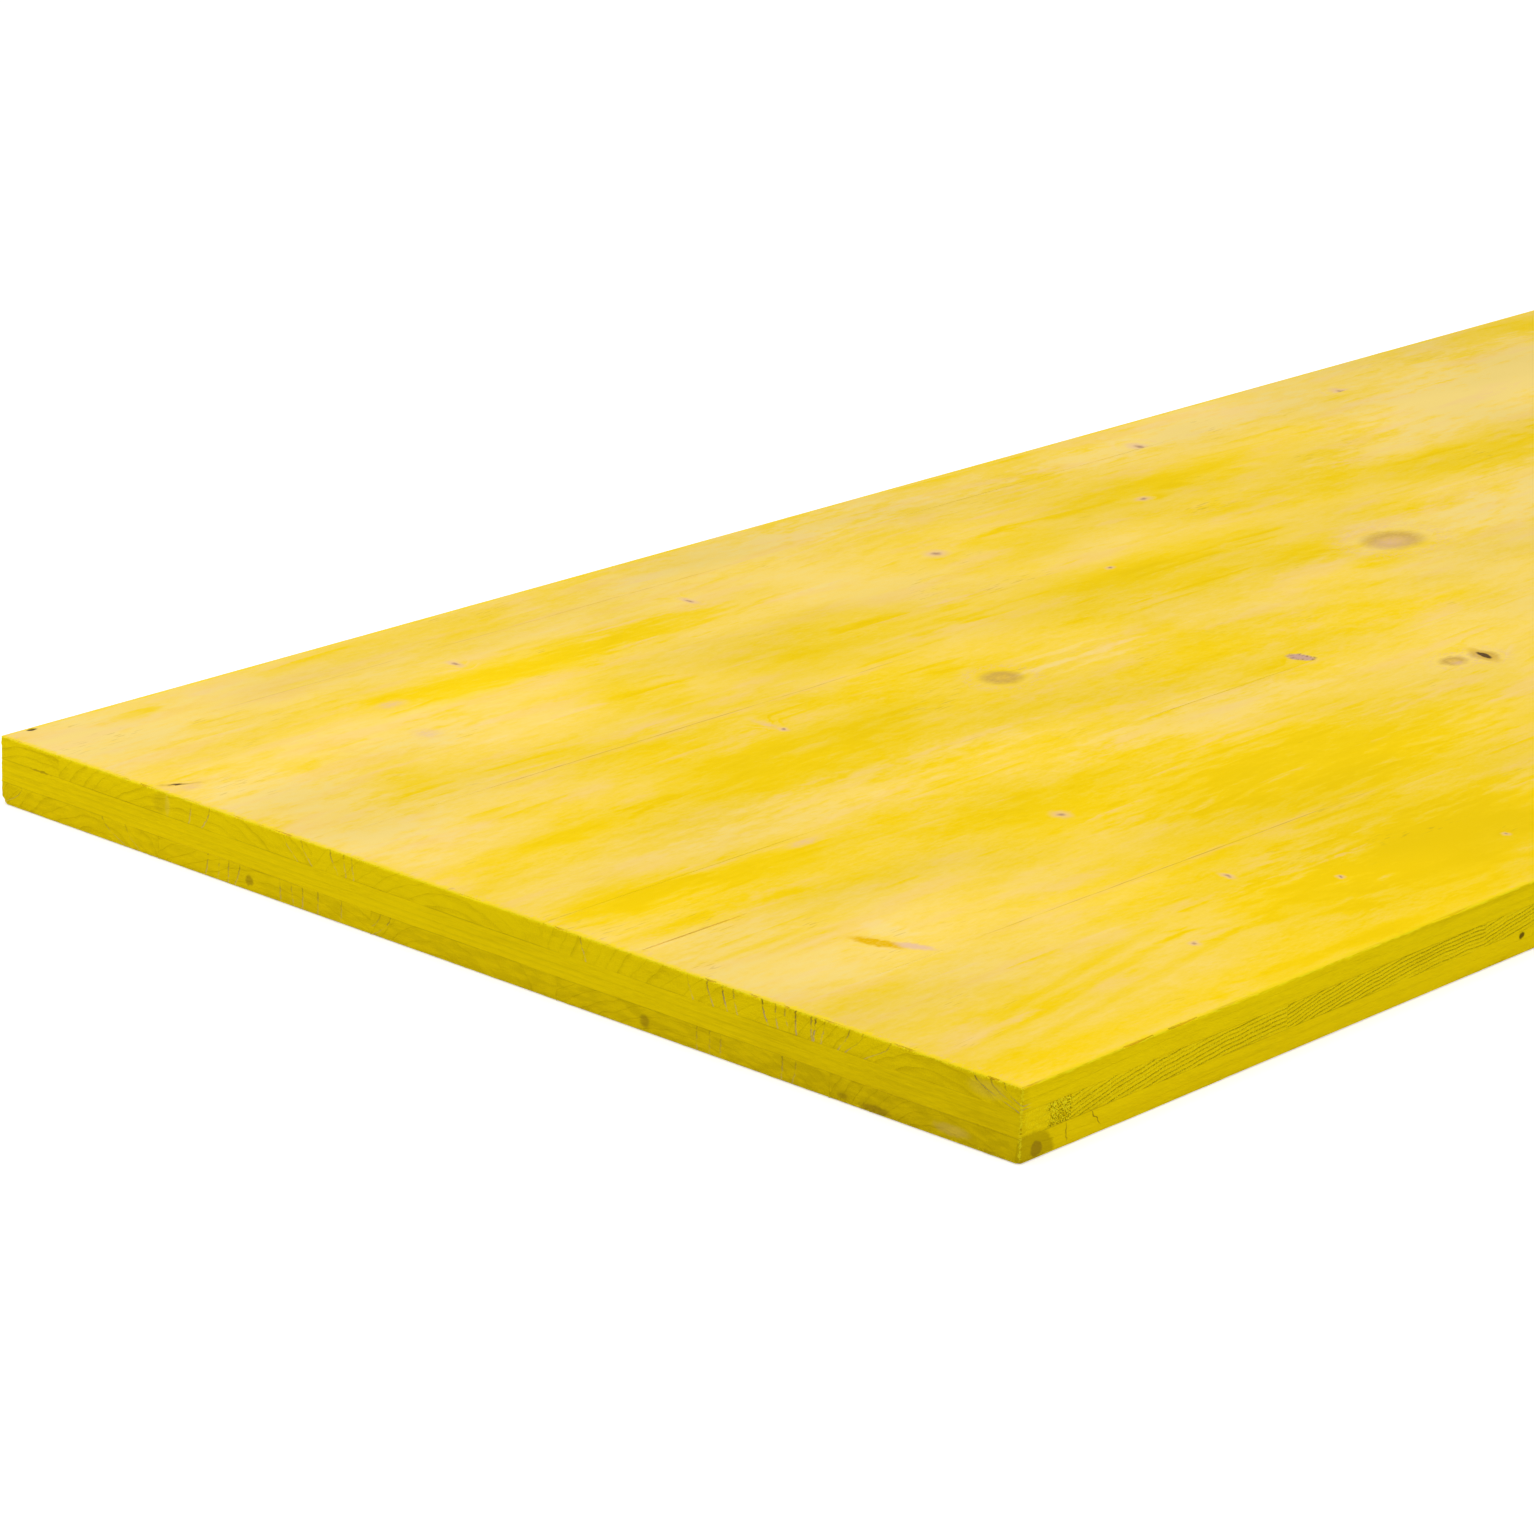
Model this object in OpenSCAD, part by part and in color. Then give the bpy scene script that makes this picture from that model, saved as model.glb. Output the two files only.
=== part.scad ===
// Three-layer shuttering sheet of yellow glazed softwood, lying flat.
// Face boards run along X, core strips run along Y, and the sheet rests on Z = 0.
// The origin is the middle of the underside.

/* [Sheet] */
// Length of the sheet, along the grain of its faces
sheet_length = 2000; // [1000:50:3000]
// Width of the sheet, across the grain of its faces
sheet_width = 500; // [250:10:600]
// Flat taken off every outer edge so that it does not splinter
arris = 0.6; // [0.2:0.1:2]

/* [Layers] */
// Thickness of the bottom face layer
bottom_thickness = 9; // [4:0.5:15]
// Thickness of the crosswise core layer
core_thickness = 9; // [4:0.5:30]
// Thickness of the top face layer
top_thickness = 9; // [4:0.5:15]

/* [Face boards] */
// Widths of the top boards from the near edge, up to the board that makes up the width
top_near_widths = [101, 114, 115]; // [60:1:160]
// Width of the top board at the far edge
top_far_width = 33; // [15:1:120]
// Widths of the bottom boards from the near edge, up to the board that makes up the width
bottom_near_widths = [82, 126, 92]; // [60:1:160]
// Width of the bottom board at the far edge
bottom_far_width = 88; // [15:1:120]

/* [Core strips] */
// Width of the core strip at the near end, which was cut down with the sheet
first_strip_width = 26; // [10:1:110]
// Width of the core strip at the far end, which was cut down with the sheet
last_strip_width = 86; // [10:1:110]
// Width of a whole core strip; a row of them is fitted between the two cut ones
core_strip_width = 118; // [80:1:160]

/* [Hidden] */
core_bottom = bottom_thickness;
top_bottom = core_bottom + core_thickness;
sheet_thickness = top_bottom + top_thickness;

glazed_face = [0.97, 0.83, 0.25];
glazed_end_grain = [0.80, 0.70, 0.06];

// Sum of the first n entries of a list
function sum_first(list, n) = n == 0 ? 0 : list[n - 1] + sum_first(list, n - 1);

// Where face boards laid side by side begin and end, measured from the near edge.
// A near board that would run into the far one is left out.
function board_edges(near_widths, far_width) = concat(
    [0],
    [
        for (n = [1 : len(near_widths)])
            let (joint = sum_first(near_widths, n))
                if (joint < sheet_width - far_width - 2 * arris) joint
    ],
    [sheet_width - far_width, sheet_width]
);

// One name for each piece between two edges
function piece_names(stem, edges) = [for (i = [1 : len(edges) - 1]) str(stem, i)];

whole_strips_length = sheet_length - first_strip_width - last_strip_width;
whole_strips = max(1, round(whole_strips_length / core_strip_width));
whole_strip_pitch = whole_strips_length / whole_strips;

top_edges = board_edges(top_near_widths, top_far_width);
bottom_edges = board_edges(bottom_near_widths, bottom_far_width);
core_edges = concat(
    [0],
    [for (n = [0 : whole_strips]) first_strip_width + n * whole_strip_pitch],
    [sheet_length]
);

top_names = piece_names("top_board_", top_edges);
core_names = piece_names("core_strip_", core_edges);
bottom_names = piece_names("bottom_board_", bottom_edges);

// A rectangle about the origin with its four corners eased
module eased_rectangle(a, b) {
    polygon([
        [arris - a / 2, -b / 2],
        [a / 2 - arris, -b / 2],
        [a / 2, arris - b / 2],
        [a / 2, b / 2 - arris],
        [a / 2 - arris, b / 2],
        [arris - a / 2, b / 2],
        [-a / 2, b / 2 - arris],
        [-a / 2, arris - b / 2]
    ]);
}

// The outside of the whole sheet, with its twelve edges eased
module sheet_outside() {
    translate([0, 0, sheet_thickness / 2])
        intersection() {
            linear_extrude(sheet_thickness, center = true)
                eased_rectangle(sheet_length, sheet_width);
            rotate([90, 0, 0])
                linear_extrude(sheet_width, center = true)
                    eased_rectangle(sheet_length, sheet_thickness);
            rotate([90, 0, 90])
                linear_extrude(sheet_length, center = true)
                    eased_rectangle(sheet_width, sheet_thickness);
        }
}

// The wood between two corners, measured from the sheet's near corner on the floor
module cut_piece(low, high) {
    intersection() {
        sheet_outside();
        translate([-sheet_length / 2, -sheet_width / 2, 0])
            translate(low)
                cube(high - low);
    }
}

// Top face board, grain along the sheet
module top_board(i) {
    color(glazed_face)
        cut_piece(
            [0, top_edges[i], top_bottom],
            [sheet_length, top_edges[i + 1], sheet_thickness]
        );
}

// Core strip, grain across the sheet, its end grain showing on the long edges
module core_strip(i) {
    color(glazed_end_grain)
        cut_piece(
            [core_edges[i], 0, core_bottom],
            [core_edges[i + 1], sheet_width, top_bottom]
        );
}

// Bottom face board, grain along the sheet
module bottom_board(i) {
    color(glazed_face)
        cut_piece(
            [0, bottom_edges[i], 0],
            [sheet_length, bottom_edges[i + 1], core_bottom]
        );
}

for (i = [0 : len(top_names) - 1])
    top_board(i);

for (i = [0 : len(core_names) - 1])
    core_strip(i);

for (i = [0 : len(bottom_names) - 1])
    bottom_board(i);
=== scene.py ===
"""Looks of a three-layer shuttering sheet of yellow glazed softwood.

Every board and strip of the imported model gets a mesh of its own, with eased edges, open glue
joints, a split, torn grain and worn corners, and a procedural wood with its own rings and knots.
Sizes are in millimetres, measured from the sheet's near corner: along its length from the near
end, across its width from the near edge and up from the floor.
"""
import math
from dataclasses import dataclass, field

import bpy
import numpy as np
from mathutils import Matrix, Vector


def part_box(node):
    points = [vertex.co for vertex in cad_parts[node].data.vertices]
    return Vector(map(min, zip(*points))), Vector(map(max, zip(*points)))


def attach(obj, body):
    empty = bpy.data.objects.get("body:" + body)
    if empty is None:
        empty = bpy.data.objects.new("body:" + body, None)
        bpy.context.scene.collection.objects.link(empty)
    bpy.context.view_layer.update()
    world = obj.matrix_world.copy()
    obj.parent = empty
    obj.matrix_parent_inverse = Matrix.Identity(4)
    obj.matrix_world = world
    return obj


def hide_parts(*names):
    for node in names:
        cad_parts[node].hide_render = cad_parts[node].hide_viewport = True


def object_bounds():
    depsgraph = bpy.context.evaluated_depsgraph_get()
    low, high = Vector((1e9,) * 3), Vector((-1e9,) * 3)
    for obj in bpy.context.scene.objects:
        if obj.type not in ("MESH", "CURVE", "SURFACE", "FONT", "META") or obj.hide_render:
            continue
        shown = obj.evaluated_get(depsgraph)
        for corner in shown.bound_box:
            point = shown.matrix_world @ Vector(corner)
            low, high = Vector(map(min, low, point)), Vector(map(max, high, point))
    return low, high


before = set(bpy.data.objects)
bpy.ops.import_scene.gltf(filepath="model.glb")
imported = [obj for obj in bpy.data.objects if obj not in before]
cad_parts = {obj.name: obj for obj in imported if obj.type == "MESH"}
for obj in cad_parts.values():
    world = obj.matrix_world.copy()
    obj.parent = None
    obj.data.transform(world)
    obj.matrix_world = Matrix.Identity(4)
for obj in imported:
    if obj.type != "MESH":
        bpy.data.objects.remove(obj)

CAD_LOW, CAD_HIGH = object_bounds()
MM = 0.001
SIZE = np.array(CAD_HIGH - CAD_LOW) / MM
CORNER = np.array(CAD_LOW)

# Seeds: of the sheet, of each layer's first piece past it, and the shift of a noise for each seed
SEED = 27
LAYER_SEEDS = {"top": 0, "core": 100, "bottom": 200}
SEED_SHIFT = (3.17, 7.31, 1.93)

# Camera, placed from the sheet's near top corner
LENS_MM = 131.41
SENSOR_MM = 36.0
CAMERA_FROM_CORNER = (-1324.7, -1043.9, 665.7)
CAMERA_HEADING = math.radians(48.841)
CAMERA_DIP = math.radians(18.366)
CAMERA_ROLL = math.radians(1.844)
VIEW_LIMIT = 100.0

# Light, in metres in the frame: each lamp's name, place, aim, size and power
SKY_STRENGTH = 0.44
LAMPS = (
    ("key", (-1.05, -0.05, 2.5), (-0.9, -0.1, 0.0), 2.4, 33.0),
    ("far_key", (1.4, 0.0, 2.2), (1.2, 0.0, 0.0), 2.0, 5.5),
    ("end_fill", (-1.6, 0.8, 0.4), (-1.0, 0.1, 0.0), 0.6, 1.6),
    ("side_fill", (-0.7, -2.2, 0.8), (-0.7, -0.25, 0.0), 1.2, 5.8),
)
FLOOR_WHITE = 0.74
FLOOR_GLOW = 0.53
FLOOR_HALF = 30.0
FLOOR_DROP = 0.0002

# Grid lines of the boards: beside an outer side and beside a joint, and the steps between
ARRIS = 0.6
OUTER_LINES = (ARRIS, 1.5, 3.0, 5.0)
INNER_LINES = (0.3,)
LINES_IN_THICKNESS = 3
LENGTH_STEP = 8.0
WIDTH_STEP = 2.5
HEIGHT_STEP = 1.5
STRIP_STEP = 1.6
STRIP_LENGTH_STEP = 60.0
SHARP_ANGLE = math.radians(50)
# Uneven edges: how deep they go, how often they change, and the range that is drawn from, where
# less than zero leaves the edge as it is
ROUNDING = 0.3
ROUNDING_SPACING = 9.0
ROUNDING_RANGE = (0.7, 1.6)
CHIP_DEPTH = 0.8
CHIP_SPACING = 4.0
CHIP_RANGE = (-4.0, 1.0)
WAVE_DEPTH = 0.35
WAVE_SPACING = 17.0
WAVE_RANGE = (-1.0, 1.0)
JOINT_OPENING = 0.07
JOINT_SPACING = 60.0
JOINT_RANGE = (-1.2, 1.2)
# How far apart in the random values two edges lie, for each millimetre across and up
EDGE_APART_ACROSS, EDGE_APART_UP = 37.0, 11.0
# Torn end grain on the first core strip: more of its pits are shallow than deep
TORN_STEP = 0.5
TORN_FROM, TORN_TO = 14.0, 26.0
TORN_START_SHIFT = (-1.0, 4.0)
TORN_DEPTH = 0.7
TORN_BIAS = 1.5
# A face has a material of its own for each stretch of its length
STRETCHES = 4
STRETCH = SIZE[0] / STRETCHES
# The drying split near the end of a top board
SPLIT_ACROSS = 172.5
SPLIT_FROM, SPLIT_TO = 10.0, 62.0
SPLIT_HALF_WIDTH = 0.35
SPLIT_CLEARANCE = 4 * SPLIT_HALF_WIDTH
SPLIT_DEPTH = 2.4
SPLIT_BIAS = 0.6
# Corners that are knocked off: which end of each axis, and the length of the cut
WORN_CORNERS = (((0, 1, 0), 4.2), ((0, 0, 0), 2.6), ((1, 1, 1), 2.0), ((1, 0, 0), 3.0))
WORN_RANGE = (0.6, 1.15)


@dataclass
class Knot:
    """A knot or resin mark on a face, with its half length and half width.

    Lean is how far along the sheet it shifts for each millimetre across.
    """

    along: float
    across: float
    length: float
    width: float
    kind: str = "dash"
    lean: float = 0.0


@dataclass
class Patch:
    """A place where the glaze lies thicker, or thinner if strength is below zero.

    Lean is how far across the sheet it shifts for each millimetre along.
    """

    along: float
    across: float
    length: float
    width: float
    strength: float
    lean: float = 0.0


@dataclass
class Seam:
    """A stretch of a glue joint that shows as a hairline."""

    across: float
    start: float
    stop: float
    strength: float


@dataclass
class Check:
    """A drying check across the end of a board: its place at the top and how far it leans."""

    across: float
    lean: float
    strength: float = 1.0


@dataclass
class Stain:
    """A mark on a sawn edge or end: its middle, its three half sizes, its colour and its strength.

    Lean is how far along the sheet it shifts for each millimetre up, and fade is the share of its
    size over which it fades out.
    """

    middle: tuple
    half: tuple
    colour: tuple
    strength: float = 1.0
    lean: float = 0.0
    fade: float = 0.6


@dataclass
class Noise:
    """A noise: the lengths of its features along the grain, across it and through it."""

    lengths: tuple
    seed: int
    detail: float = 1.0
    roughness: float = 0.5


@dataclass
class Layer:
    """A colour in a knot, or the knot's own rings where there is none.

    It rises and fades out from the knot's middle, 1 at the outline, and the fibre breaks it up.
    """

    colour: tuple
    fade: tuple
    rise: tuple = None
    fibre: tuple = None


@dataclass
class Board:
    """One piece of the sheet, with the place of its log's heart and the marks on it."""

    node: str
    layer: str
    seed: int
    low: np.ndarray
    high: np.ndarray
    heart: tuple = (0, 0)
    ring: float = 1.0
    knots: list = field(default_factory=list)
    patches: list = field(default_factory=list)
    seams: list = field(default_factory=list)
    checks: list = field(default_factory=list)
    stains: list = field(default_factory=list)

    @property
    def grain(self):
        return 1 if self.layer == "core" else 0

    @property
    def slot(self):
        return "core_strips" if self.layer == "core" else "face_boards"

    @property
    def is_split(self):
        return self.layer == "top" and self.low[1] < SPLIT_ACROSS < self.high[1]

    @property
    def is_torn(self):
        return self.layer == "core" and self.low[0] < TORN_FROM


def srgb(red, green, blue):
    """A colour as it looks on a screen, 0 to 255, as the linear value that shaders use."""
    return tuple(c / 255 / 12.92 if c < 10.3 else ((c / 255 + 0.055) / 1.055) ** 2.4
                 for c in (red, green, blue)) + (1.0,)


BARE_WOOD = srgb(250, 220, 128)
THIN_GLAZE = srgb(252, 218, 108)
GLAZE = srgb(251, 215, 80)
FULL_GLAZE = srgb(250, 213, 50)
THICK_GLAZE = srgb(250, 211, 12)
GOLD_GLAZE = srgb(247, 207, 2)
PEACH = srgb(247, 202, 146)
LILAC = srgb(236, 194, 164)
ORANGE = srgb(238, 186, 2)
CUT_GLAZE = srgb(250, 220, 4)
CUT_SHADE = srgb(224, 194, 4)
CORE_SHADE = srgb(150, 128, 4)
# Painted shade low on the sawn ends, and the dark halo round a knot on the side
PAINTED_LOW_SHADE_AND_KNOT_HALO = srgb(204, 176, 4)
GLUE_LINE = srgb(176, 150, 10)
# Bright yellow for worn edges and sparks, and for painted highlights on edges and torn grain
BRIGHT_WEAR_AND_HIGHLIGHT = srgb(255, 242, 36)
EDGE_GLAZE = srgb(254, 222, 20)
CHECK_STAIN = srgb(220, 188, 140)
CHECK_DARK = srgb(126, 92, 40)
SEAM_STAIN = srgb(186, 146, 40)
KNOT_TAN = srgb(224, 181, 72)
KNOT_GREY = srgb(200, 160, 82)
KNOT_LILAC = srgb(206, 166, 150)
KNOT_DARK = srgb(132, 88, 62)
KNOT_BLACK = srgb(66, 46, 40)
CUT_KNOT = srgb(164, 132, 20)
CUT_SPOT = srgb(92, 68, 14)
WHITE = (1.0, 1.0, 1.0, 1.0)

# Noises in the wood and glaze of a face
WANDER = Noise((300, 110, 110), 0)
RIPPLE = Noise((60, 9, 9), 5)
CLOUD = Noise((150, 56, 56), 1, 5.0, 0.66)
SHADE = Noise((190, 70, 70), 7, 2.0)
STREAK = Noise((20, 4.3, 4.3), 2, 2.0)
BRUSH = Noise((4.5, 1.7, 1.7), 3)
FIBRE = Noise((2.0, 0.8, 0.8), 4)
COMB = Noise((60, 20, 20), 6, 2.0)
BLUSH = Noise((70, 13, 13), 16, 2.0)
NICK = Noise((7, 0.8, 0.8), 8, 0.0)
CROWD = Noise((45, 22, 22), 10)
KNOT_EDGE = Noise((5, 2.5, 2.5), 9)
# Noises on a sawn edge or end
CUT_CLOUD = Noise((60, 30, 12), 11, 3.0)
PORE = Noise((5, 0.5, 0.5), 12)
SAW = Noise((40, 40, 1.1), 13)
BLOTCH = Noise((25, 9, 2.2), 15, 2.0)
STAIN_EDGE = Noise((2.5, 2.5, 2.5), 14)

# The values below that hold two or four numbers are fades: where one starts and stops, and how
# strong it is at both. Where only two are given, it goes from 0 to 1 or from a mark's strength to 0.
# A weight is how much a noise adds, and ragged is how far it moves an outline.

# Growth rings
FACE_SWAY = (0.0, 34.0, 9.0)
CORE_SWAY = (0.0, 8.0, 2.5)
RIPPLE_WEIGHT = 0.7
RING_SEED = 0.37
LATE_RISE = (0.45, 0.92)
LATE_FALL = (0.93, 1.0, 1.0, 0.0)
# Thickness of the glaze, and its fraying patches
CLOUD_WEIGHT, STREAK_WEIGHT, BRUSH_WEIGHT, FIBRE_WEIGHT = 1.7, 0.30, 0.28, 0.20
CLOUD_FRAY, STREAK_FRAY, BRUSH_FRAY = 2.0, 2.2, 0.8
NEAR_TREND = (0.0, 220.0, -0.06, 0.03)
FAR_TREND = (360.0, 620.0, 0.0, -0.09)
PATCH_FADE = (0.3, 1.2)
# Rings that show in the glaze as pale or deep lines
RING_SHOWN = (0.15, 0.9)
PALE_WHERE = (0.52, 0.64)
PALE_WEIGHT = 0.18
DEEP_WHERE = (0.47, 0.37)
DEEP_WEIGHT = 0.27
# Colour of the glaze by its thickness
GLAZE_STOPS = (
    (0.02, BARE_WOOD), (0.26, THIN_GLAZE), (0.47, GLAZE),
    (0.63, FULL_GLAZE), (0.77, THICK_GLAZE), (0.92, GOLD_GLAZE))
PALE_BLUSH = (0.45, 0.62, 0.0, 0.3)
BLUSH_SHOWN = (0.50, 0.68, 0.0, 0.26)
BLUSH_GLAZE = (0.75, 0.4)
SHADE_WEIGHT = 0.32
# Flecks and nicks towards the ends of a face, and its rim
FLECK_AT_END = (0.0, 9.0, 0.35, 0.0)
FLECK_SHOWN = (0.56, 0.66)
NICK_SHOWN = (0.66, 0.76)
CROWD_AT_END = (10.0, 80.0, 0.06, 0.0)
CROWD_SHOWN = (0.62, 0.74, 0.0, 0.3)
RIM_RAGGED = 5.0
RIM_FADE = (0.3, 3.0, 0.8, 0.0)
# Glue joints on a face, full along this share of their stretch
SEAM_FULL = 0.7
SEAM_BROKEN = (0.42, 0.56, 0.15, 1.0)
SEAM_LINE = (0.05, 0.4, 1.0, 0.0)
SEAM_RAGGED = 8.0
SEAM_BORDER = (1.0, 5.0, 0.45, 0.0)
# Knots: the rings swell around them by a share of their width
KNOT_RAGGED = (3.0, 3.0, 0.0)
SWELL_REACH = 3.5
SWELL_SHARE = 0.8
KNOT_TURNS = 11.0
KNOT_TURN_WEIGHT = 0.15
KNOT_HEART = (0.2, 0.9, 0.6, 0.0)
KNOT_LAYERS = {
    "pale": (Layer(LILAC, (0.0, 1.5, 0.6, 0.0), fibre=(0.35, 0.6, 0.5, 1.0)),),
    "lilac": (Layer(LILAC, (0.4, 1.2, 0.8, 0.0)),),
    "resin": (Layer(ORANGE, (0.6, 1.3, 1.0, 0.0), fibre=(0.35, 0.6, 0.75, 1.0)),),
    "round": (
        Layer(None, (0.5, 1.15, 0.85, 0.0), fibre=(0.3, 0.6, 0.75, 1.0)),
        Layer(LILAC, (1.4, 2.2, 1.0, 0.0), rise=(1.0, 1.4), fibre=(0.45, 0.60, 0.0, 0.3))),
    "dash": (Layer(LILAC, (0.0, 1.5, 0.75, 0.0)), Layer(KNOT_DARK, (0.05, 0.6, 0.55, 0.0))),
    "dark": (
        Layer(KNOT_LILAC, (0.6, 1.2, 0.95, 0.0)),
        Layer(KNOT_DARK, (0.8, 1.2, 0.7, 0.0), rise=(0.3, 0.8), fibre=(0.47, 0.6))),
    "split": (Layer(KNOT_TAN, (0.9, 1.7, 0.6, 0.0)), Layer(KNOT_BLACK, (0.45, 0.75, 0.9, 0.0))),
    "black": (Layer(KNOT_BLACK, (0.5, 1.15, 1.0, 0.0)),),
}
# Sawn edges and ends
CUT_CLOUD_WEIGHT, BLOTCH_WEIGHT, PORE_WEIGHT, SAW_WEIGHT = 0.6, 0.7, 0.6, 0.3
ON_END = (1.0, 5.0, 1.0, 0.0)
# Painted shade: the sawn ends darken over their first 170 mm across, towards the near corner,
# standing in for less light there
PAINTED_CORNER_SHADE_ACROSS = (0.0, 170.0, 0.3, 0.0)
# Painted shade on the ends of the bottom layer, strongest towards the near edge and in blotches,
# standing in for less light low down by the floor
PAINTED_LOW_SHADE_ACROSS = (100.0, 450.0, 0.6, 0.2)
PAINTED_LOW_SHADE_BLOTCHED = (0.35, 0.6, 0.5, 1.0)
GLUE_FADE = (0.0, 0.35, 0.5, 0.0)
GLUE_BROKEN = (0.42, 0.60)
STAIN_RAGGED = (1.6, 1.6, 1.6)
STAIN_OUTLINE = 1.1
# A thin ragged bright line along the outer edges: partly worn glaze, partly a painted highlight
# where the arrises catch the light
WEAR_AND_HIGHLIGHT_RAGGED = 3.0
WEAR_AND_HIGHLIGHT_FADE = (0.2, 0.9, 0.55, 0.0)
BOARD_RINGS = (0.3, 1.0, 0.0, 0.38)
BOARD_SHADES = (-0.2, 0.8)
STRIP_RINGS = (0.0, 0.6, 0.5, 1.0)
STRIP_SHADES = (-0.2, 0.7)
STRIP_BROKEN = (0.35, 0.60, 0.4, 1.0)
STRIP_OFF_END = (0.5, 2.0, 0.08, 0.7)
SPARK_SHOWN = (0.44, 0.34)
SPARK_OFF_END = (0.5, 2.0, 0.0, 0.5)
TORN_RINGS = 0.1
TORN_RAGGED = 9.0
TORN_FADE = (TORN_FROM - 1.0, TORN_FROM + 2.0)
# Painted shade and painted highlights as specks in the torn end grain
TORN_PAINTED_SHADE = (0.51, 0.60, 0.0, 0.8)
TORN_PAINTED_HIGHLIGHT = (0.49, 0.40, 0.0, 0.8)
# Drying checks on the ends
CHECK_WIDTH = 0.55
CHECK_STRENGTH = {"top": 0.85, "bottom": 0.55}
CHECK_WOBBLE = 1.2
CHECK_BEND = (0.0, 9.0, 0.4, 1.6)
CHECK_OFF_END = (1.0, 6.0)
CHECK_BROKEN = (0.38, 0.58, 0.15, 1.0)
CHECK_RAGGED = 6.0
CHECK_PALE = (1.5, 8.0)
# Relief in millimetres, what adds to it, roughness, and how much the matt glaze mirrors
FACE_RELIEF, CUT_RELIEF = 0.12, 0.25
BRUSH_HEIGHT, FIBRE_HEIGHT = 0.6, 0.5
BOARD_RING_HEIGHT = -0.5
STRIP_HEIGHT, STRIP_RING_DEPTH = 0.7, 1.6
CHECK_DEPTH = 1.5
FACE_ROUGHNESS = (0.2, 0.9, 0.62, 0.46)
CUT_ROUGHNESS = (0.3, 0.7, 0.5, 0.64)
SHEEN = 0.004

TOP_KNOTS = (
    Knot(13.5, 497.5, 2.6, 1.6, "black"),
    Knot(10, 411.5, 2.0, 3.4, "split", -1.6),
    Knot(11, 406, 5, 3, "pale"),
    Knot(191, 447, 2.5, 5),
    Knot(324, 443, 2.5, 6),
    Knot(454, 419, 6, 5),
    Knot(590, 413, 5, 3),
    Knot(659, 469, 5, 7),
    Knot(813, 467, 5, 7),
    Knot(135, 427, 8, 4, "pale"),
    Knot(120, 392, 6, 6, "pale"),
    Knot(493, 355, 3, 2),
    Knot(224, 310, 2.6, 9, "pale"),
    Knot(224, 302, 2, 2.4),
    Knot(338, 287, 11, 9, "round"),
    Knot(619, 298, 19, 13, "round"),
    Knot(615, 296, 12, 7, "pale"),
    Knot(449, 221.5, 4.6, 6, "dark", -0.2),
    Knot(507, 172, 7, 7, "round"),
    Knot(507, 172, 3.2, 7, "split", 0.25),
    Knot(491, 176, 8, 6, "round"),
    Knot(490, 173, 3, 3, "pale"),
    Knot(223, 164, 4, 4.5),
    Knot(130, 209, 9, 3, "pale"),
    Knot(69.5, 122, 3.6, 10, "resin", -0.25),
    Knot(76, 110, 3.4, 8, "lilac", -0.3),
    Knot(214, 80, 2, 4),
    Knot(243, 51, 2, 2),
    Knot(149, 45, 2.4, 2.4),
    Knot(327, 37, 2, 2),
)

TOP_PATCHES = (
    Patch(70, 484, 18, 12, 0.20),
    Patch(176, 488, 34, 10, 0.18),
    Patch(200, 428, 125, 17, 0.30),
    Patch(280, 425, 60, 12, 0.16),
    Patch(214, 366, 24, 30, 0.22),
    Patch(330, 366, 80, 30, 0.22),
    Patch(76, 361, 15, 14, 0.18),
    Patch(64, 273, 65, 9, 0.26),
    Patch(200, 280, 95, 24, 0.30),
    Patch(40, 212, 50, 17, 0.34),
    Patch(95, 203, 55, 16, 0.22),
    Patch(30, 181, 32, 6, 0.26),
    Patch(38, 148, 30, 2.4, 0.26),
    Patch(50, 141, 28, 2.2, 0.24),
    Patch(56, 134, 20, 2.2, 0.20),
    Patch(36, 91, 15, 5, 0.20),
    Patch(350, 143, 110, 34, 0.28),
    Patch(340, 90, 150, 95, 0.10),
    Patch(345, 95, 80, 28, 0.16),
    Patch(222, 160, 36, 18, 0.14),
    Patch(215, 45, 60, 30, 0.16),
    Patch(70, 42, 75, 4, 0.26, 0.16),
    Patch(95, 55, 60, 3, 0.22, 0.16),
    Patch(105, 33, 70, 3, 0.20, 0.14),
    Patch(308, 45, 110, 36, 0.26),
    Patch(75, 12, 80, 9, 0.20),
    Patch(190, 8, 90, 6, 0.22),
    Patch(480, 405, 45, 24, 0.22),
    Patch(610, 425, 110, 22, 0.24),
    Patch(495, 345, 120, 26, 0.20),
    Patch(770, 355, 90, 24, 0.24),
    Patch(590, 283, 22, 9, 0.40),
    Patch(30, 463, 40, 22, -0.18),
    Patch(25, 347, 40, 60, -0.20),
    Patch(118, 405, 32, 28, -0.20),
    # Painted reflection: this pale patch on the far edge stands for glare off the glaze, not for
    # thinner glaze
    Patch(372, 478, 60, 18, -0.10),
    Patch(457, 482, 50, 14, -0.36),
    Patch(660, 474, 120, 13, -0.26),
    Patch(200, 238, 90, 18, -0.18),
    Patch(30, 136, 36, 34, -0.12),
    Patch(82, 128, 7, 9, -0.30),
    Patch(930, 440, 90, 40, -0.30),
    Patch(740, 390, 60, 16, -0.20),
    Patch(350, 202, 80, 14, -0.20),
    Patch(386, 284, 48, 2.5, -0.40),
    Patch(378, 276, 42, 2.0, -0.32),
    Patch(382, 294, 40, 2.0, -0.26),
    Patch(860, 420, 120, 30, -0.24),
    Patch(650, 300, 80, 24, -0.18),
)

TOP_SEAMS = (Seam(467, 60, 400, 0.3), Seam(330, 75, 345, 0.6), Seam(101, 90, 340, 0.6))

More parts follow.
